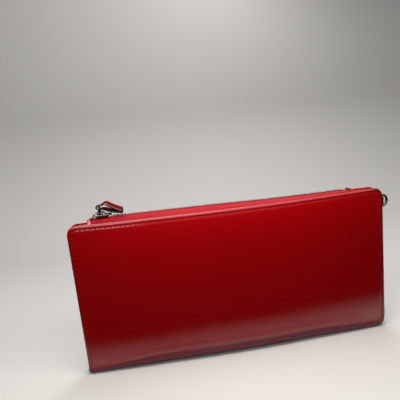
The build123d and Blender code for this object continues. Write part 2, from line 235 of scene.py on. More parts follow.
def thick_sheet(name, grid, thickness, materials, flip=False, rim_steps=4, rim_material=0):
    """A closed sheet with rounded rims. grid is its outer face; the sheet grows to the other side."""
    rows, columns = grid.shape[:2]
    thickness = np.broadcast_to(thickness, (rows, columns))
    normal = grid_normals(grid) * (-1 if flip else 1)
    inner = grid - normal * thickness[:, :, None]
    index = np.arange(rows * columns).reshape(rows, columns)
    points = [grid.reshape(-1, 3), inner.reshape(-1, 3)]
    corners = [index[:-1, :-1], index[:-1, 1:], index[1:, 1:], index[1:, :-1]]
    outer_quads = np.stack(corners, -1).reshape(-1, 4)
    if not flip:
        outer_quads = outer_quads[:, ::-1]
    quads = outer_quads.tolist() + (outer_quads[:, ::-1] + rows * columns).tolist()
    plain_faces = len(quads)
    loop = [(0, j) for j in range(columns)]
    loop += [(i, columns - 1) for i in range(1, rows)]
    loop += [(rows - 1, j) for j in range(columns - 2, -1, -1)]
    loop += [(i, 0) for i in range(rows - 2, 0, -1)]
    ring = [np.array([index[p] for p in loop])]
    base = 2 * rows * columns
    edge_points = np.array([grid[p] for p in loop])
    edge_normals = np.array([normal[p] for p in loop])
    half = np.array([thickness[p] for p in loop])[:, None] / 2
    inward = [(min(max(i, 1), rows - 2), min(max(j, 1), columns - 2)) for i, j in loop]
    away = edge_points - np.array([grid[p] for p in inward])
    away -= (away * edge_normals).sum(1, keepdims=True) * edge_normals
    away /= np.linalg.norm(away, axis=1, keepdims=True)
    middle = edge_points - edge_normals * half
    for step in range(1, rim_steps):
        angle = math.pi * step / rim_steps
        points.append(middle + half * (math.cos(angle) * edge_normals + math.sin(angle) * away))
        ring.append(np.arange(base, base + len(loop)))
        base += len(loop)
    ring.append(ring[0] + rows * columns)
    for first, second in zip(ring[:-1], ring[1:]):
        band = np.stack([first, np.roll(first, -1), np.roll(second, -1), second], -1)
        if flip:
            band = band[:, ::-1]
        quads.extend(band.tolist())
    obj = new_object(name, np.concatenate(points), quads, materials)
    if rim_material:
        for polygon in obj.data.polygons[plain_faces:]:
            polygon.material_index = rim_material
    return obj


def band(i, j, sides):
    """Faces between ring i and ring j of a row of rings."""
    return [[i * sides + k, i * sides + (k + 1) % sides, j * sides + (k + 1) % sides, j * sides + k]
            for k in range(sides)]


def ring_wire(name, path, radius, materials, sides=12):
    """A round wire along a closed path."""
    path = np.asarray(path, float)
    count = len(path)
    ahead = np.roll(path, -1, 0) - np.roll(path, 1, 0)
    ahead /= np.linalg.norm(ahead, axis=1, keepdims=True)
    across = np.cross(ahead[0], [0.0, 0.0, 1.0])
    if np.linalg.norm(across) < 0.1:
        across = np.cross(ahead[0], [0.0, 1.0, 0.0])
    points = []
    for spot, heading in zip(path, ahead):
        across = across - heading * (across @ heading)
        across /= np.linalg.norm(across)
        other = np.cross(heading, across)
        for k in range(sides):
            angle = 2 * math.pi * k / sides
            points.append(spot + radius * (math.cos(angle) * across + math.sin(angle) * other))
    faces = [face for i in range(count) for face in band(i, (i + 1) % count, sides)]
    return new_object(name, points, faces, materials)


def loft(rings):
    """Points and faces of a closed form through equal rings of points, capped at both ends."""
    sides = len(rings[0])
    faces = [face for i in range(len(rings) - 1) for face in band(i, i + 1, sides)]
    faces.append(list(range(sides))[::-1])
    faces.append([(len(rings) - 1) * sides + k for k in range(sides)])
    return np.concatenate(rings), faces


def squircle(angle, power):
    """A point of a square with round sides and half size 1."""
    c, s = math.cos(angle), math.sin(angle)
    shape = (abs(c) ** power + abs(s) ** power) ** (-1 / power)
    return c * shape, s * shape


def repeat_shape(name, shape, placements, materials):
    """Many copies of one small shape in one mesh. Each placement is a 3x3 turn and a position."""
    points, faces = shape
    all_points, all_faces = [], []
    for turn, spot in placements:
        offset = len(all_points) * len(points)
        all_points.append(points @ np.asarray(turn).T + spot)
        all_faces.extend([[v + offset for v in face] for face in faces])
    return new_object(name, np.concatenate(all_points), all_faces, materials)


def extruded(name, outline, z0, z1, materials, bevel, segments=3):
    """A plate with rounded edges from an outline in (x, y)."""
    count = len(outline)
    points = [(x, y, z0) for x, y in outline] + [(x, y, z1) for x, y in outline]
    faces = [list(range(count))[::-1], list(range(count, 2 * count))]
    faces += [[k, (k + 1) % count, (k + 1) % count + count, k + count] for k in range(count)]
    obj = new_object(name, points, faces, materials)
    rounding = obj.modifiers.new("rounding", "BEVEL")
    rounding.width = bevel * MM
    rounding.segments = segments
    rounding.limit_method = "ANGLE"
    rounding.angle_limit = math.radians(50)
    rounding.harden_normals = True
    return obj


# Joining pieces to the covers -----------------------------

def mouth_share(x):
    """How far the front cover opens at x: nothing at the joined right end, fully at the left end."""
    return np.clip((MOUTH_SHUT_X - x) / (2 * MOUTH_SHUT_X), 0, 1)


def bend_share(z):
    """The front leather starts to turn in the fold and follows the cover fully above it."""
    return smooth((z - 3) / 18)


def bend_with_cover(obj, share=None):
    """Bakes the piece's placement into its mesh and works out each point's share of the front cover's
    turn, which does not bend it.
    """
    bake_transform(obj)
    count = len(obj.data.vertices)
    place = np.zeros(count * 3)
    obj.data.vertices.foreach_get("co", place)
    place = place.reshape(-1, 3) / MM
    if share is None:
        weight = mouth_share(place[:, 0]) * bend_share(place[:, 2])
    else:
        weight = share(place)
    return obj


def join_cover(obj, side):
    """Front pieces get their placement baked and are not bent; back pieces ride on the back cover."""
    if side < 0:
        return bend_with_cover(obj)
    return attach(obj, "back_cover")


def settle(obj, nodes=(), body=None):
    """Hides the CAD nodes a piece stands for and hangs it on the body that carries it."""
    if nodes:
        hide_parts(*nodes)
    if body:
        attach(obj, body)
    return obj


# Materials ------------------------------------------------

class Nodes:
    """A short way to write the nodes of a material or of the world. Colours are written without alpha."""

    def __init__(self, owner):
        owner.use_nodes = True
        self.owner = owner
        self.tree = owner.node_tree
        self.shader = self.tree.nodes.get("Principled BSDF")

    def add(self, kind, **settings):
        node = self.tree.nodes.new(kind)
        for key, value in settings.items():
            setattr(node, key, value)
        return node

    def put(self, socket, value):
        if isinstance(value, bpy.types.NodeSocket):
            self.tree.links.new(value, socket)
        else:
            socket.default_value = (*value, 1) if isinstance(value, tuple) else value

    def fill(self, node, keys, values):
        for key, value in zip(keys, values):
            self.put(node.inputs[key], value)

    def set(self, **values):
        self.fill(self.shader, [key.replace("_", " ") for key in values], values.values())

    def object_space(self):
        return self.add("ShaderNodeTexCoord").outputs["Object"]

    def split(self, vector):
        node = self.add("ShaderNodeSeparateXYZ")
        self.put(node.inputs[0], vector)
        return node.outputs

    def noise(self, vector, scale, detail):
        node = self.add("ShaderNodeTexNoise")
        self.fill(node, ("Vector", "Scale", "Detail", "Roughness"), (vector, scale, detail, 0.55))
        return node.outputs["Fac"]

    def math(self, operation, a, b=0.0):
        node = self.add("ShaderNodeMath", operation=operation)
        self.fill(node, (0, 1), (a, b))
        return node.outputs[0]

    def mix(self, factor, a, b):
        """A colour between two colours."""
        node = self.add("ShaderNodeMix", data_type="RGBA")
        self.fill(node, (0, 6, 7), (factor, a, b))
        return node.outputs[2]

    def mix_levels(self, factor, a, b):
        """A number between two numbers."""
        node = self.add("ShaderNodeMix")
        self.fill(node, (0, 2, 3), (factor, a, b))
        return node.outputs[0]

    def ramp(self, factor, low, high, to_low=0.0, to_high=1.0):
        node = self.add("ShaderNodeMapRange")
        self.fill(node, range(5), (factor, low, high, to_low, to_high))
        return node.outputs[0]

    def bump(self, height, strength, distance, normal=None):
        node = self.add("ShaderNodeBump")
        self.fill(node, ("Height", "Strength", "Distance"), (height, strength, distance * MM))
        if normal is not None:
            self.put(node.inputs["Normal"], normal)
        return node.outputs["Normal"]


def leather(name, light, dark, roughness, coat, grain=0.12, grain_size=0.55):
    """Polished leather: pores and fine wrinkles, cloudy dye, a soft top coat."""
    n = Nodes(bpy.data.materials.new(name))
    place = n.object_space()
    cloud = n.noise(place, 22, 2)
    mottle = n.noise(place, 260, 3)
    tone = n.math("ADD", n.math("MULTIPLY", cloud, 0.6), n.math("MULTIPLY", mottle, 0.4))
    colour = n.mix(n.ramp(tone, 0.15, 0.85), dark, light)
    cells = n.add("ShaderNodeTexVoronoi", feature="DISTANCE_TO_EDGE")
    n.fill(cells, ("Vector", "Scale"), (place, 1 / (grain_size * MM)))
    pores = n.ramp(cells.outputs["Distance"], 0.0, 0.12)
    normal = n.bump(pores, grain, 0.03)
    normal = n.bump(n.noise(place, 4200, 2), grain * 0.5, 0.02, normal)
    n.set(Base_Color=colour, Normal=normal)
    n.set(Roughness=n.ramp(n.noise(place, 60, 4), 0.1, 0.9, roughness - 0.03, roughness + 0.04))
    n.set(Coat_Weight=coat, Coat_Roughness=0.09, Specular_IOR_Level=0.4)
    return n.owner


def thread(name, colour):
    """Twisted waxed thread, painted darker in the twist's grooves as painted shade."""
    n = Nodes(bpy.data.materials.new(name))
    place = n.object_space()
    wave = n.add("ShaderNodeTexWave", wave_type="BANDS", bands_direction="DIAGONAL")
    n.fill(wave, ("Vector", "Scale"), (place, 900.0))
    # Six tenths of the colour in the twist's grooves: painted shade.
    dark = tuple(0.6 * c for c in colour)
    n.set(Base_Color=n.mix(wave.outputs["Fac"], dark, colour))
    n.set(Normal=n.bump(wave.outputs["Fac"], 0.5, 0.08), Roughness=0.7, Specular_IOR_Level=0.15)
    return n.owner


def woven(name, light, dark, pitch, sheen, roughness=0.75):
    """Twill made of crossing yarns, painted darker where the yarns dip as painted shade, with random fuzz
    in its tone.
    """
    n = Nodes(bpy.data.materials.new(name))
    place = n.object_space()
    x, y, z = n.split(place)
    turn = 2 * math.pi / (pitch * MM)
    warp = n.math("SINE", n.math("MULTIPLY", x, turn))
    weft = n.math("SINE", n.math("MULTIPLY", n.math("ADD", n.math("ADD", z, y), x), turn))
    height = n.math("ADD", n.math("MULTIPLY", warp, 0.5), n.math("MULTIPLY", weft, 0.5))
    fuzz = n.noise(place, 3000, 3)
    # Colour follows the weave's height plus fuzz: the darker low spots are painted shade.
    colour = n.mix(n.ramp(n.math("ADD", height, n.math("MULTIPLY", fuzz, 0.8)), -0.7, 1.3), dark, light)
    n.set(Base_Color=colour, Normal=n.bump(height, 0.55, pitch * 0.3), Roughness=roughness)
    n.set(Specular_IOR_Level=0.2)
    n.set(Sheen_Weight=sheen, Sheen_Roughness=0.4)
    return n.owner


def metal(name, colour, roughness):
    """Plated metal with fine scratches and slightly dulled patches."""
    n = Nodes(bpy.data.materials.new(name))
    place = n.object_space()
    patches = n.noise(place, 700, 4)
    scratches = n.noise(place, 5200, 2)
    dulled = tuple(0.85 * c for c in colour)
    n.set(Base_Color=n.mix(n.ramp(patches, 0.35, 0.7), colour, dulled))
    n.set(Metallic=1.0, Roughness=n.ramp(patches, 0.3, 0.8, roughness, roughness + 0.12))
    n.set(Normal=n.bump(scratches, 0.08, 0.04))
    return n.owner


def board(name):
    """Pressed card."""
    n = Nodes(bpy.data.materials.new(name))
    place = n.object_space()
    colour = n.mix(n.noise(place, 900, 4), (0.30, 0.25, 0.19), (0.42, 0.37, 0.30))
    n.set(Base_Color=colour, Roughness=0.9)
    n.set(Normal=n.bump(n.noise(place, 2500, 3), 0.3, 0.1))
    return n.owner


RED = leather("polished_red_leather", (0.30, 0.0004, 0.0020), (0.26, 0.0003, 0.0016), 0.20, 0.65, 0.05)
# Darker, duller leather for the crease strip below the top edge: painted shade in the crease.
CREASE_SHADE = leather("crease_painted_shade_leather", (0.17, 0.0010, 0.0025), (0.13, 0.0008, 0.0018), 0.6, 0.0, 0.05)
# Dark edge paint; on the covers' sides it is also painted shade on the turned edge.
EDGE_PAINT_AND_SHADE = leather("leather_edge_paint_and_shade", (0.16, 0.003, 0.005), (0.10, 0.002, 0.004), 0.3, 0.4)
POCKET = leather("pocket_leather", (0.34, 0.003, 0.006), (0.24, 0.002, 0.005), 0.42, 0.15, 0.3, 0.7)
GUSSET = leather("gusset_leather", (0.28, 0.003, 0.006), (0.19, 0.002, 0.004), 0.40, 0.2, 0.25)
TAB = leather("tab_leather", (0.13, 0.003, 0.006), (0.09, 0.002, 0.004), 0.24, 0.6, 0.10)
TAB_EDGE = leather("tab_edge_paint", (0.020, 0.004, 0.004), (0.012, 0.003, 0.003), 0.35, 0.3)
THREAD = thread("red_thread", (0.34, 0.006, 0.018))
TAPE = woven("zip_tape_weave", (0.36, 0.008, 0.015), (0.25, 0.004, 0.008), 0.55, 0.06, 0.6)
# Dark weave for the tape's rims: painted shade, the dark outline round the tape's end.
TAPE_RIM_SHADE = woven("zip_tape_rim_painted_shade", (0.12, 0.004, 0.006), (0.06, 0.002, 0.003), 0.55, 0.2, 0.7)
# Pale pink glossy film: its paleness is partly a painted highlight.
FILM_AND_GLINT = leather("zip_tape_end_film_and_painted_glint", (0.46, 0.09, 0.13), (0.34, 0.04, 0.07), 0.16, 1.0, 0.02)
LINING = woven("lining_twill", (0.045, 0.040, 0.044), (0.012, 0.011, 0.012), 0.5, 0.3)
STEEL = metal("zip_teeth_metal", (0.42, 0.40, 0.38), 0.28)
NICKEL = metal("slider_nickel", (0.33, 0.315, 0.295), 0.26)
DARK_NICKEL = metal("ring_dark_nickel", (0.30, 0.28, 0.26), 0.18)
BOARD = board("pressed_card")


# Covers ---------------------------------------------------

def border(width, steps):
    """Distances from an edge, close together near it."""
    return width * (np.arange(steps + 1) / steps) ** 1.6


BORDER = border(7.5, 17)


def column_places(half):
    """Places along X from -half to half, close together near both ends."""
    middle = np.linspace(-1, 1, 210)[1:-1]
    inner = half - BORDER[-1]
    return np.concatenate([-half + BORDER, middle * inner, half - BORDER[::-1]])


def cover_skin():
    """The one sheet of outer leather: down the front, round the fold and up the back."""
    top = PANEL_TOP - RIM

    def rows_of(side):
        part = [("edge", side, d) for d in BORDER]
        part += [("wall", side, t) for t in np.linspace(0, 1, 34)[1:-1]]
        return part + [("fold", side, a) for a in np.linspace(0, math.pi / 2, 15)]

    rows = rows_of(-1) + [("foot", 0, 0)] + rows_of(1)[::-1]
    grid, thickness = [], []
    for kind, side, value in rows:
        x = column_places(HALF_LENGTH - RIM)
        half = half_of(side, x)
        radius = np.minimum(FOLD_RADIUS, half - 0.8)
        if kind == "edge":
            z = np.full_like(x, top - value)
        elif kind == "wall":
            z = top - BORDER[-1] - value * (top - BORDER[-1] - fold_rise(x))
        elif kind == "fold":
            z = fold_rise(x) * (1 - math.sin(value))
        else:
            z = np.zeros_like(x)
        x = np.array([column_places(h)[k] for k, h in enumerate(reach(x, z, RIM))])
        half = half_of(side, x)
        y = side * half
        if kind == "fold":
            y = side * (half - radius + radius * math.cos(value))
        height = relief(x, z) * (math.cos(value) ** 2 if kind == "fold" else 1)
        y = y + side * (height - lean(x, z))
        thickness.append(LEATHER + np.clip(height, -0.8, 0))
        if kind == "foot":
            y = (back_half(x) - front_half(x)) / 2
        grid.append(np.stack([drawn_in(x, z), y, lifted(x, z)], -1))
    materials = [RED, EDGE_PAINT_AND_SHADE, CREASE_SHADE]
    skin = thick_sheet("cover_leather", np.array(grid), np.array(thickness), materials, rim_steps=6)
    for polygon in skin.data.polygons:
        x, z = polygon.center.x / MM, polygon.center.z / MM
        on_side_paint_and_shade = abs(x) > abs(drawn_in(math.copysign(reach(x, z), x), z)) - 1.0
        in_crease_shade = abs(PANEL_TOP - CREASE_INSET - z + top_rise(x)) < 0.25 and abs(x) < HALF_LENGTH - 3
        # The sides' outer millimetre and rim get the dark edge colour, which is edge paint and painted
        # shade on the turned edge. It is left off the top edge and the left side's top, where light
        # catches them.
        if on_side_paint_and_shade and (x > 0 or z < PANEL_TOP - 5):
            polygon.material_index = 1
        # The crease strip below the top edge gets the darker leather as painted shade.
        elif in_crease_shade:
            polygon.material_index = 2
    settle(skin, ["outer_front_panel", "outer_back_panel", "spine_fold"])
    bend_with_cover(skin, lambda p: np.where(p[:, 1] < 0, mouth_share(p[:, 0]) * bend_share(p[:, 2]), 0))


# Seams ----------------------------------------------------

def seam_outline(inset, foot):
    """The seam's line in (x, z): up the left side, along the top and down the right side."""
    side = HALF_LENGTH - inset
    top = PANEL_TOP - inset
    radius = TOP_CORNER - inset
    turns = np.linspace(math.pi, math.pi / 2, 8)
    left = [(-side, foot)]
    left += [(-side + radius + radius * math.cos(a), top - radius + radius * math.sin(a)) for a in turns]
    right = [(-x, z) for x, z in left[::-1]]
    return np.array(left + right)


def even_points(line, pitch):
    """Points and headings at even steps along a line."""
    steps = np.linalg.norm(np.diff(line, axis=0), axis=1)
    total = steps.sum()
    run = np.concatenate([[0], np.cumsum(steps)])
    count = int(total / pitch)
    where = (np.arange(count) + 0.5) * total / count

    def at(places):
        return np.stack([np.interp(places, run, line[:, k]) for k in range(line.shape[1])], -1)

    heading = at(where + 0.4) - at(where - 0.4)
    return at(where), heading / np.linalg.norm(heading, axis=1, keepdims=True)


def stitch_shape(length, width):
    """One visible stitch: a short rounded thread, sunk at both ends. Length along X, up along Z."""
    rings = []
    for t in np.linspace(-1, 1, 7):
        size = width / 2 * math.sqrt(max(1 - abs(t) ** 3, 0.04))
        lift = 0.30 * width * (1 - t * t) - 0.06
        ring = []
        for k in range(8):
            angle = 2 * math.pi * k / 8
            ring.append((t * length / 2, size * math.cos(angle), lift + 0.8 * size * math.sin(angle)))
        rings.append(np.array(ring))
    return loft(rings)


def stitches(name, spots, headings, outward, length=2.0, width=0.58):
    """Stitches at spots, each along its heading, standing out along outward."""
    placements = []
    for spot, heading, out in zip(spots, headings, outward):
        out = out / np.linalg.norm(out)
        heading = heading - out * (heading @ out)
        heading /= np.linalg.norm(heading)
        cross = np.cross(out, heading)
        slant = math.radians(STITCH_SLANT + rng.uniform(-2.5, 2.5))
        ahead = math.cos(slant) * heading + math.sin(slant) * cross
        sideways = np.cross(out, ahead)
        placements.append((np.stack([ahead, sideways, out], -1), spot))
    return repeat_shape(name, stitch_shape(length, width), placements, [THREAD])


def cover_seam(side, name):
    """The seam round one cover."""
    flat, heading = even_points(seam_outline(STITCH_INSET, SEAM_FOOT), STITCH_PITCH)
    x, z = flat[:, 0], flat[:, 1]
    y = side * (half_of(side, x) - lean(x, z) + relief(x, z) + 0.04)
    inward = side * (half_of(side, x + heading[:, 0]) - half_of(side, x))
    ahead = np.stack([heading[:, 0], inward, heading[:, 1]], -1)
    slope = side * (half_of(side, x + 0.5) - half_of(side, x - 0.5))
    outward = np.stack([-side * slope, np.full_like(x, side), np.zeros_like(x)], -1)
    seam = stitches(name, np.stack([drawn_in(x, z), y, lifted(x, z)], -1), ahead, outward)
    join_cover(settle(seam), side)


# Sheets inside the covers ---------------------------------

def cover_sheet(name, side, depth, thickness, materials, node):
    """A sheet at a depth inside a cover, following the cover's curve. The last material is its rim's."""
    low, high = node_box(node)
    x = np.linspace(-high[0], high[0], 91)
    z = np.concatenate([np.linspace(high[2], 26, 30), np.linspace(25, low[2], 30)])
    xx, zz = np.meshgrid(x, z)
    yy = side * (half_of(side, xx) - depth - lean(xx, zz))
    sheet = thick_sheet(name, np.stack([xx, yy, zz], -1), thickness, materials, flip=side > 0,
                        rim_material=len(materials) - 1)
    join_cover(settle(sheet, [node]), side)
    return high[0], low[2], high[2]


def cover_insides(side, word):
    """Board, lining, card backing and the card pocket strips of one cover, with their seams."""
    depth = LEATHER + 0.12
    cover_sheet(f"{word}_board", side, depth, 0.5, [BOARD], f"{word}_stiffener_board")
    depth += 0.55
    cover_sheet(f"{word}_lining_cloth", side, depth, 0.3, [LINING], f"{word}_lining")
    depth += 0.35
    cover_sheet(f"{word}_card_back", side, depth, 0.4, [POCKET, EDGE_PAINT_AND_SHADE],
                f"{word}_card_backing")
    for row in ("top", "middle", "bottom"):
        depth += 0.45
        half_x, low, high = cover_sheet(f"{word}_pocket_{row}", side, depth, 0.4, [POCKET, EDGE_PAINT_AND_SHADE],
                                        f"{word}_card_pocket_{row}")
        inner = depth + 0.4
        lines = [np.array([(-half_x + 1.5, high - 1.6), (half_x - 1.5, high - 1.6)])]
        lines.append(np.array([(0, low + 1), (0, high - 3)]))
        spots, headings, outs = [], [], []
        for line in lines:
            flat, heading = even_points(line, 2.6)
            y = side * (half_of(side, flat[:, 0]) - inner - lean(flat[:, 0], flat[:, 1]))
            spots.append(np.stack([flat[:, 0], y, flat[:, 1]], -1))
            rise = half_of(side, flat[:, 0] + 0.5) - half_of(side, flat[:, 0] - 0.5)
            headings.append(np.stack([heading[:, 0], side * rise * heading[:, 0], heading[:, 1]], -1))
            outs.append(np.stack([0 * y, np.full_like(y, -side), 0 * y], -1))
        seam = stitches(f"{word}_pocket_{row}_seam", np.concatenate(spots), np.concatenate(headings),
                        np.concatenate(outs), 1.8, 0.45)
        join_cover(settle(seam), side)


# Gussets --------------------------------------------------

def gusset(sign, word):
    """A leather V fold that closes one end."""
    edge = HALF_LENGTH - 2.2
    grid = []
    for z in np.linspace(87, 4, 23):
        depth = 6 + 20 * (z - 9) / 78
        flange = END_HALF - LEATHER - 0.75
        row = []
        for t in np.linspace(-1, 1, 41):
            way = abs(t)
            inward = depth * (1 - way**1.4) ** 0.9
            spread = 0.28 + (flange - 0.28) * way**3.2 + 0.9 * way * (1 - way)
            row.append((sign * (edge - inward), math.copysign(spread, t) if t else 0.0, z))
        grid.append(row)
    sheet = thick_sheet(f"{word}_gusset_fold", np.array(grid), 0.5, [GUSSET, EDGE_PAINT_AND_SHADE], flip=sign < 0,
                        rim_material=1)
    settle(sheet, [f"{word}_gusset"])

    def share(place):
        across = np.clip(0.5 - place[:, 1] / (2 * (END_HALF - LEATHER)), 0, 1)
        return mouth_share(place[:, 0]) * bend_share(place[:, 2]) * across

    bend_with_cover(sheet, share)


# Main zip -------------------------------------------------

def crest(x):
    """Height of the chain: a slight fall and sag, then down behind the covers at both ends."""
    right = np.clip(x - CHAIN_RIGHT, 0, None)
    left = np.clip(CHAIN_LEFT - x, 0, None)
    sag = CHAIN_SLOPE * (x - SLIDER_X) + 0.6 * np.exp(-(((x - 30) / 38) ** 2))
    return CHAIN_Z - sag - right**2 / 28 - 0.10 * left**2


def zip_tape(side, word):
    """A tape: sewn behind the cover's edge, rising from it in a soft curve to the chain."""
    x = np.concatenate([np.linspace(-87.3, -83, 12), np.linspace(-82, 76, 80), np.linspace(77, 91, 20)])
    xx, tt = np.meshgrid(x, np.linspace(0, 1, 20))
    sewn = lean(xx, TAPE_FOOT + 7 * np.clip(4 * tt, 0, 1))
    inside = half_of(side, xx) - LEATHER - 0.12 - 0.4 * smooth(4 * tt) - sewn
    top = crest(xx)
    foot = np.minimum(PANEL_TOP - 1.2, top - 0.5)
    hidden = 0.25
    s = np.clip((tt - hidden) / (1 - hidden), 0, 1)
    tip = CHAIN_HALF - 0.25
    rise = np.where(tt < hidden, TAPE_FOOT + (foot - TAPE_FOOT) * tt / hidden, 0)
    b0, b1, b2, b3 = (1 - s) ** 3, 3 * s * (1 - s) ** 2, 3 * s * s * (1 - s), s**3
    high = b0 * foot + b1 * (foot + (top - foot) * 0.45) + b2 * (top - 0.1 * (top - foot)) + b3 * top
    wide = b0 * inside + b1 * (inside - 0.1) + b2 * (tip + (inside - tip) * 0.45) + b3 * tip
    zz = np.where(tt < hidden, rise, high)
    yy = side * np.where(tt < hidden, inside, wide)
    grid = np.stack([xx, yy, zz], -1)
    # The tape's rims get the dark weave, painted shade round the tape's end.
    sheet = thick_sheet(f"{word}_tape", grid, 0.45, [TAPE, TAPE_RIM_SHADE, FILM_AND_GLINT], flip=side < 0, rim_material=1)
    # The film's faces get the pale pink leather, partly a painted highlight.
    for polygon in sheet.data.polygons:
        if polygon.material_index == 0 and FILM_GLINT_LEFT < polygon.center.x / MM < FILM_GLINT_RIGHT:
            polygon.material_index = 2
    join_cover(settle(sheet, [f"{word}_zip_tape"]), side)


def tooth_shape(width, height, inner, outer):
    """A cast tooth: a clamp on the tape's cord, a waist and a rounded head. It points along Y."""
    stations = [(outer, 0.72, 0.80), (outer - 0.12, 0.95, 1.0), (outer - 0.75, 1.0, 1.0),
                (outer - 0.95, 0.80, 0.78), (inner + 0.45, 0.80, 0.74), (inner + 0.12, 0.95, 0.86),
                (inner, 0.66, 0.62)]
    rings = []
    for y, wide, tall in stations:
        ring = []
        for k in range(12):
            across, up = squircle(2 * math.pi * (k + 0.5) / 12, 4)
            ring.append((width / 2 * wide * across, y, height / 2 * tall * up))
        rings.append(np.array(ring))
    return loft(rings)


def teeth_row(name, side, start, end, pitch, height_of, width, height, reach_y, node, phase):
    """One row of teeth that follows the chain's height."""
    points, faces = tooth_shape(width, height, -0.45, reach_y)
    points = points * np.array([1, side, 1])
    if side < 0:
        faces = [face[::-1] for face in faces]
    placements = []
    count = int((end - start) / pitch)
    for index in range(count):
        x = start + (index + phase) * pitch
        angle = math.atan(height_of(x + 0.5) - height_of(x - 0.5))
        cos, sin = math.cos(angle), math.sin(angle)
        turn = np.array([[cos, 0, -sin], [0, 1, 0], [sin, 0, cos]])
        placements.append((turn, np.array([x, 0, height_of(x)])))
    return settle(repeat_shape(name, (points, faces), placements, [STEEL]), [node])


def stop_clip(name, x, half_y, y, node):
    """A zip stop: a small bent clip over the tape."""
    z = crest(x)
    outline = [(x - 0.9, y - half_y), (x + 0.9, y - half_y), (x + 0.9, y + half_y), (x - 0.9, y + half_y)]
    return settle(extruded(name, outline, z - 0.85, z + 0.95, [STEEL], 0.35), [node])


def rounded_outline(x0, x1, half_front, half_back, corner):
    """A plate outline: half_front wide at x0, half_back wide at x1, with round corners."""
    corners = [(x0, -half_front), (x1, -half_back), (x1, half_back), (x0, half_front)]
    points = []
    for k, spot in enumerate(corners):
        spot = np.array(spot, float)
        back = np.array(corners[k - 1], float) - spot
        ahead = np.array(corners[(k + 1) % 4], float) - spot
        start = spot + back / np.linalg.norm(back) * corner
        end = spot + ahead / np.linalg.norm(ahead) * corner
        for t in np.linspace(0, 1, 7):
            points.append((1 - t) ** 2 * start + 2 * t * (1 - t) * spot + t * t * end)
    return points


def arch_strip(name, outer, inner, half_width, flare, materials):
    """A bridge between an outer and an inner curve in (x, z). Its feet are wider by flare."""
    rings = []
    count = len(outer)
    for k, (top, low) in enumerate(zip(outer, inner)):
        middle, across = (top + low) / 2, (top - low) / 2
        wide = half_width + flare * abs(2 * k / (count - 1) - 1) ** 3
        ring = []
        for step in range(16):
            aside, out = squircle(2 * math.pi * (step + 0.5) / 16, 5)
            spot = middle + across * out
            ring.append((spot[0], wide * aside, spot[1]))
        rings.append(np.array(ring))
    points, faces = loft(rings)
    return new_object(name, points, [face[::-1] for face in faces], materials)


def slider_bridge():
    """A low arch along the slider, with one opening for the link."""
    low, high = node_box("slider_bail")
    x, z = (low[0] + high[0]) / 2, low[2]
    half, rise = (high[0] - low[0]) / 2, high[2] - low[2] - 0.15
    outer, inner = [], []
    for angle in np.linspace(math.pi, 0, 33):
        outer.append(np.array((x + half * math.cos(angle), z - 0.1 + (rise + 0.1) * math.sin(angle))))
        across, up = squircle(angle, 4)
        inner.append(np.array((x + 1.3 * across, z - 0.25 + 1.9 * up)))
    bridge = arch_strip("slider_bridge", outer, inner, 0.85, 0.5, [NICKEL])
    settle(bridge, ["slider_bail"], "zip_slider")


def zip_slider():
    """Upper and lower plates, side walls, wedge and the bridge."""
    half = (slider_high[1] - slider_low[1]) / 2
    x0, x1 = slider_low[0], slider_high[0]
    outline = rounded_outline(x0, x1, half, half * 0.78, 1.6)
    z0, z1 = slider_low[2], slider_high[2]
    upper = extruded("slider_upper_plate", outline, z1 - PLATE, z1, [NICKEL], 0.3, 4)
    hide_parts("slider_body")
    outline = rounded_outline(x0, x1, half * 0.72, half * 0.6, 1.3)
    lower = extruded("slider_lower_plate", outline, z0, z0 + PLATE, [NICKEL], 0.3, 4)
    parts = [upper, lower]
    for side, word in ((-1, "front"), (1, "back")):
        outer = side * (half - 0.05)
        inner = side * (half - 0.55)
        strip = [(x0 + 2.0, inner), (x0 + 2.0, outer), (x1 - 1.6, outer * 0.84), (x1 - 1.6, inner * 0.82)]
        if side > 0:
            strip = strip[::-1]
        parts.append(extruded(f"slider_{word}_wall", strip, CHAIN_Z + 0.42, z1 - 0.3, [NICKEL], 0.12))
    outline = rounded_outline(x0 + 0.6, x0 + 2.9, 0.85, 0.35, 0.3)
    parts.append(extruded("slider_wedge", outline, CHAIN_Z + 0.98, z1 - 0.5, [NICKEL], 0.04))
    for part in parts:
        settle(part, body="zip_slider")
    slider_bridge()


def round_rectangle(width, height, corner):
    """A closed path in (y, z) of a rectangle with round corners, from z 0 to z height."""
    points = []
    centres = [(width / 2 - corner, corner, -90), (width / 2 - corner, height - corner, 0),
               (-width / 2 + corner, height - corner, 90), (-width / 2 + corner, corner, 180)]
    for cy, cz, start in centres:
        for turn in range(0, 91, 18):
            angle = math.radians(start + turn)
            points.append((cy + corner * math.cos(angle), cz + corner * math.sin(angle)))
    return points


def pull_link():
    """The wire link between the bridge and the leather tab."""
    low, high = node_box("pull_link")
    width = high[1] - low[1] - 1.0
    reach_up = TAB_PIVOT - LINK_PIVOT
    length = math.hypot(reach_up[0], reach_up[2])
    tilt = math.atan2(reach_up[0], reach_up[2])
    path = []
    for y, z in round_rectangle(width, length, 0.9):
        path.append((LINK_PIVOT[0] + z * math.sin(tilt), y, LINK_PIVOT[2] + z * math.cos(tilt)))
    settle(ring_wire("pull_wire_link", path, 0.5, [NICKEL]), ["pull_link"], "pull_link")


def spline(spots, steps):
    """A smooth line through points in (x, z)."""
    spots = [np.array(p, float) for p in spots]
    line = []
    for k in range(len(spots) - 1):
        p0, p1 = spots[max(k - 1, 0)], spots[k]
        p2, p3 = spots[k + 1], spots[min(k + 2, len(spots) - 1)]
        for u in np.linspace(0, 1, steps + 1)[:-1]:
            line.append(0.5 * (2 * p1 + (p2 - p0) * u + (2 * p0 - 5 * p1 + 4 * p2 - p3) * u * u
                               + (3 * p1 - p0 - 3 * p2 + p3) * u**3))
    return np.array(line + [spots[-1]])


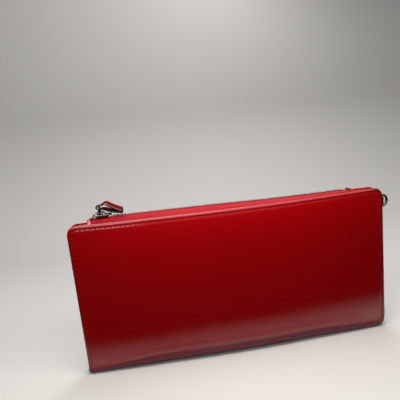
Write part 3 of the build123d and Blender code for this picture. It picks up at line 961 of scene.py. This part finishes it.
def pull_tab():
    """A strip looped round the link's bar. Its two layers lie together at the free end."""
    over = [(14.0, -2.2), (11.0, -0.8), (8.2, 0.9), (6.2, 2.2), (4.8, 2.8), (3.0, 2.3), (1.0, 1.35)]
    eye = [(1.4 * math.cos(a), 1.4 * math.sin(a)) for a in np.radians([125, 165, 205, 245])]
    under = [(0.6, -1.45), (3.2, -1.9), (6.2, -2.9), (9.6, -3.8), (14.0, -4.2)]
    line = spline(over + eye + under, 6)
    axis_x, axis_z = [0.0, 3.0, 6.0, 10.0, 14.0], [0.0, 0.1, -0.4, -2.0, -3.2]
    widths = np.linspace(-2.6, 2.6, 11)
    grid, thickness = [], []
    for x, z in line:
        middle = np.interp(x, axis_x, axis_z)
        turn = math.radians(20) * smooth((x - 1) / 6)
        row = []
        for y in widths:
            off = (z - middle) * (1 - 0.12 * (y / 2.6) ** 4)
            across = y * math.cos(turn) - off * math.sin(turn)
            up = middle + y * math.sin(turn) + off * math.cos(turn)
            row.append((TAB_PIVOT[0] + x, across - 0.9 * smooth(x / 14), TAB_PIVOT[2] + up))
        grid.append(row)
        thickness.append(0.75 + 0.24 * smooth((x - 1) / 10))
    grid = np.array(grid)
    tab = thick_sheet("pull_tab_leather", grid, np.array(thickness)[:, None], [TAB, TAB_EDGE], flip=True,
                      rim_steps=6, rim_material=1)
    settle(tab, ["pull_tab"], "pull_tab")

    outward = -grid_normals(grid)
    headings = np.gradient(grid, axis=0)
    rows = [k for k in range(2, len(line) - 2, 2) if line[k][0] > 7.6]
    places = [(k, column) for k in rows for column in (2, 8)]
    seam = stitches("pull_tab_seam", [grid[p] for p in places], [headings[p] for p in places],
                    [outward[p] for p in places], 0.75, 0.34)
    settle(seam, body="pull_tab")


def main_zip():
    start, end = slider_high[0], node_box("zip_bottom_stop")[0][0] - 1.5
    for side, word, phase in ((-1, "front", 0.0), (1, "back", 0.5)):
        zip_tape(side, word)
        row = teeth_row(f"{word}_teeth", side, start, end, TOOTH_PITCH, crest, 1.05, 1.8, CHAIN_HALF - 0.1,
                        f"{word}_zip_teeth", phase)
        join_cover(row, side)
        x = sum(node_box(f"{word}_zip_top_stop"))[0] / 2
        join_cover(stop_clip(f"{word}_top_stop", x, 0.6, side * 1.75, f"{word}_zip_top_stop"), side)
    low, high = node_box("zip_bottom_stop")
    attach(stop_clip("bottom_stop", (low[0] + high[0]) / 2, 2.0, 0.0, "zip_bottom_stop"), "back_cover")
    zip_slider()
    pull_link()
    pull_tab()


# Coin pocket ----------------------------------------------

def coin_pocket():
    """A cloth pouch that hangs in the middle, with its own small zip."""
    low, high = node_box("coin_front_wall")
    half_x, bottom, top = high[0], low[2], high[2]
    half_y = -low[1]
    turns = np.linspace(0, 2 * math.pi, 97)
    grid = []
    heights = [np.linspace(top, bottom + 4, 14), bottom + 4 * (1 - np.linspace(0.2, 1, 6) ** 2)]
    for z in np.concatenate(heights):
        swell = half_y * min(1.0, math.sqrt(max(z - bottom, 0.0) / 4) * 0.85 + 0.15)
        x = half_x * np.sign(np.cos(turns)) * np.abs(np.cos(turns)) ** 0.5
        y = swell * np.sign(np.sin(turns)) * np.abs(np.sin(turns)) ** 0.75
        grid.append(np.stack([x, y, np.full_like(x, z)], -1))
    pouch = thick_sheet("coin_pouch", np.array(grid), 0.5, [LINING])
    settle(pouch, ["coin_front_wall", "coin_back_wall"], "back_cover")
    for side, word, phase in ((-1, "front", 0.0), (1, "back", 0.5)):
        low, high = node_box(f"coin_{word}_tape")
        chain = high[2] - 0.2
        x = np.linspace(low[0], high[0], 61)
        xx, tt = np.meshgrid(x, np.linspace(0, 1, 10))
        outer = max(abs(low[1]), abs(high[1]))
        edge, over = chain - 0.4, (tt - 0.6) / 0.4
        zz = np.where(over < 0, low[2] + (edge - low[2]) * tt / 0.6, chain - 0.4 * (1 - over) ** 2)
        yy = np.where(over < 0, outer, outer - (outer - 0.75) * over)
        grid = np.stack([xx, side * yy, zz], -1)
        tape = thick_sheet(f"coin_{word}_tape_cloth", grid, 0.3, [TAPE], flip=side < 0)
        settle(tape, [f"coin_{word}_tape"], "back_cover")
        low, high = node_box(f"coin_{word}_teeth")
        row = teeth_row(f"coin_{word}_teeth_row", side, low[0] - phase, high[0], 2.0, lambda x: chain,
                        0.95, 1.2, 0.75, f"coin_{word}_teeth", phase)
        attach(row, "back_cover")
    low, high = node_box("coin_slider")
    body_low, body_high = low[2], low[2] + 0.9
    upper = body_high + 1.5
    plate = rounded_outline(low[0], high[0], high[1], high[1] * 0.8, 0.8)
    top_plate = extruded("coin_slider_upper", plate, upper, upper + 0.9, [NICKEL], 0.25)
    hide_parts("coin_slider")
    bottom_plate = extruded("coin_slider_lower", plate, body_low, body_high, [NICKEL], 0.25)
    middle = (low[0] + high[0]) / 2
    turns = np.linspace(math.pi, 0, 17)
    outer = [np.array((middle + 1.6 * math.cos(a), upper + 0.8 + 2.1 * math.sin(a))) for a in turns]
    inner = [np.array((middle + 0.95 * math.cos(a), upper + 0.7 + 1.55 * math.sin(a))) for a in turns]
    bridge = arch_strip("coin_slider_bridge", outer, inner, 0.45, 0.12, [NICKEL])
    wedge = extruded("coin_slider_wedge", rounded_outline(low[0] + 0.5, low[0] + 2.2, 0.6, 0.3, 0.2),
                     upper - 0.11, upper + 0.3, [NICKEL], 0.03)
    for part in (top_plate, bottom_plate, bridge, wedge):
        settle(part, body="coin_slider")
    low, high = node_box("coin_pull")
    z = (low[2] + high[2]) / 2
    loop = [(low[0] + 0.4, -1.1), (high[0] - 4.5, -1.5), (high[0] - 1.2, -1.5), (high[0], -0.6)]
    loop += [(x, -y) for x, y in loop[::-1]]
    tag = ring_wire("coin_pull_wire", [(x, y, z) for x, y in loop], 0.38, [NICKEL])
    outline = rounded_outline(high[0] - 5.2, high[0], 1.35, 1.2, 0.7)
    plate = extruded("coin_pull_plate", outline, z - 0.3, z + 0.3, [NICKEL], 0.2)
    settle(tag, ["coin_pull"], "coin_pull")
    settle(plate, body="coin_pull")


# Side ring ------------------------------------------------

def side_ring():
    """The D ring and the leather strip that holds its straight bar."""
    x, z = RING_PIVOT[0], RING_PIVOT[2]
    path = [(x, 0, z + h) for h in np.linspace(-RING_RADIUS, RING_RADIUS, 9)[1:-1]]
    for angle in np.linspace(math.pi / 2, -math.pi / 2, 22):
        path.append((x + RING_RADIUS * math.cos(angle), 0, z + RING_RADIUS * math.sin(angle)))
    ring = ring_wire("side_ring_wire", path, RING_WIRE, [DARK_NICKEL], 16)
    settle(ring, ["side_ring"], "side_ring")
    low, high = node_box("ring_keeper")
    half = (high[2] - low[2]) / 2
    eye = RING_WIRE + 0.12
    layer = 0.6
    outer = eye + layer
    turns = np.linspace(math.radians(155), math.radians(-155), 22)
    bow = [(x + outer * math.cos(a), outer * math.sin(a)) for a in turns]
    back = low[0]
    upper = [(back, layer + 0.02), (back + 4, layer + 0.02), (x - 2.6, layer + 0.05)]
    lower = [(px, -py) for px, py in upper[::-1]]
    line = upper + bow + lower
    grid = [[(px, py, z + h) for h in np.linspace(half, -half, 7)] for px, py in line]
    keeper = thick_sheet("ring_keeper_strip", np.array(grid), layer, [TAB, TAB_EDGE], rim_material=1)
    settle(keeper, ["ring_keeper"], "back_cover")


# Stage ----------------------------------------------------

def stage():
    """A pale seamless floor and backdrop, soft lamps and the camera."""
    n = Nodes(bpy.data.materials.new("pale_paper"))
    place = n.object_space()
    tone = n.mix(n.noise(place, 3, 2), (0.67, 0.65, 0.617), (0.72, 0.70, 0.666))
    path = n.add("ShaderNodeLightPath")
    # Painted reflection and shade: mirrored rays see a floor that is bright only close to the wallet and
    # black further off, with a painted contact shadow right under it; scattered rays see a dark one, a
    # painted shade.
    x, y = n.split(place)[:2]
    off = n.math("MULTIPLY", n.math("SUBTRACT", x, 0.02), 12.0)
    away = n.math("MULTIPLY", n.math("ABSOLUTE", y), -1.0)
    bowed = n.math("SUBTRACT", away, n.math("MULTIPLY", n.math("MULTIPLY", off, off), 0.0055))
    near = n.ramp(bowed, -0.058, -0.031, 0.001, 0.80)
    near = n.math("MULTIPLY", near, n.ramp(away, -0.030, -0.018, 1.0, 1.25))
    # Right under the wallet the mirrored floor turns dark blue grey: a painted contact shadow.
    contact_shadow_tone = n.mix(n.ramp(away, -0.017, -0.013), (0.95, 0.90, 0.90), (0.35, 0.35, 0.43))
    mirrored = n.mix(near, (0, 0, 0), contact_shadow_tone)
    # Scattered rays see the floor at a fifth of its tone: painted shade that keeps the fold's underside
    # dark.
    bounced = n.mix(0.2, (0, 0, 0), tone)
    seen = n.mix(path.outputs["Is Glossy Ray"], tone, mirrored)
    seen = n.mix(path.outputs["Is Diffuse Ray"], seen, bounced)
    n.set(Base_Color=seen, Roughness=0.85, Specular_IOR_Level=0.0)
    bend, wide = 200, 12000
    turns = np.linspace(0, math.pi / 2, 16)[1:]
    profile = [(-wide, 0), (300, 0)]
    profile += [(300 + bend * math.sin(a), bend - bend * math.cos(a)) for a in turns]
    profile += [(300 + bend, 1200)]
    points = [(x, y, z) for y, z in profile for x in (-wide, wide)]
    faces = [[2 * k, 2 * k + 1, 2 * k + 3, 2 * k + 2] for k in range(len(profile) - 1)]
    floor = new_object("floor_sweep", points, faces, [n.owner])

    def lamp(name, place, target, size, power, colour=(1, 1, 1), mirrored=True):
        data = bpy.data.lights.new(name, "AREA")
        data.shape = "RECTANGLE"
        data.size, data.size_y = size[0] * MM, size[1] * MM
        data.energy = power
        data.color = colour
        obj = bpy.data.objects.new(name, data)
        obj.location = Vector(place) * MM
        obj.visible_glossy = mirrored
        obj.rotation_euler = (Vector(target) - Vector(place)).to_track_quat("-Z", "Y").to_euler()
        bpy.context.scene.collection.objects.link(obj)

    lamp("near_top", (0, -52, 150), (0, 0, 75), (210, 30), 0.16, (1, 0.98, 0.95), False)
    lamp("overhead", (-60, 60, 700), (0, 0, 40), (500, 420), 2.2)
    lamp("back_fill", (150, 330, 560), (0, 0, 60), (240, 240), 1.1, mirrored=False)
    lamp("front_fill", (-340, -645, 400), (0, 0, 50), (360, 360), 1.12)

    world = bpy.data.worlds.new("room")
    w = Nodes(world)
    rays = w.add("ShaderNodeLightPath").outputs
    height = w.split(w.add("ShaderNodeTexCoord").outputs["Generated"])[2]
    soft = w.ramp(height, 0.0, 0.7, 0.18, 0.40)
    mirrored = w.ramp(height, 0.20, 0.85, 0.0, 1.9)
    level = w.mix_levels(rays["Is Glossy Ray"], soft, mirrored)
    level = w.mix_levels(rays["Is Camera Ray"], level, 0.62)
    w.fill(w.tree.nodes["Background"], ("Color", "Strength"), ((0.90, 0.91, 0.93), level))
    bpy.context.scene.world = world

    # The camera's place, turn and lens are fitted to the wallet's outline in the photo.
    camera = bpy.data.cameras.new("camera")
    camera.lens, camera.sensor_width = 36.0, 36.0
    camera.clip_start, camera.clip_end = 0.01, 40
    eye = bpy.data.objects.new("camera", camera)
    right = Vector((0.9860, -0.1307, -0.1033)).normalized()
    up = Vector((0.1204, 0.1302, 0.9842))
    up = (up - right * up.dot(right)).normalized()
    back = right.cross(up)
    turn = Matrix((right, up, back)).transposed().to_4x4()
    eye.matrix_world = Matrix.Translation(Vector((-46.7, -243.4, 136.0)) * MM) @ turn
    bpy.context.scene.collection.objects.link(eye)
    bpy.context.scene.camera = eye
    bpy.context.scene.view_settings.view_transform = "Standard"


cover_skin()
cover_seam(-1, "front_seam")
cover_seam(1, "back_seam")
cover_insides(-1, "front")
cover_insides(1, "back")
gusset(-1, "left")
gusset(1, "right")
main_zip()
coin_pocket()
side_ring()
stage()
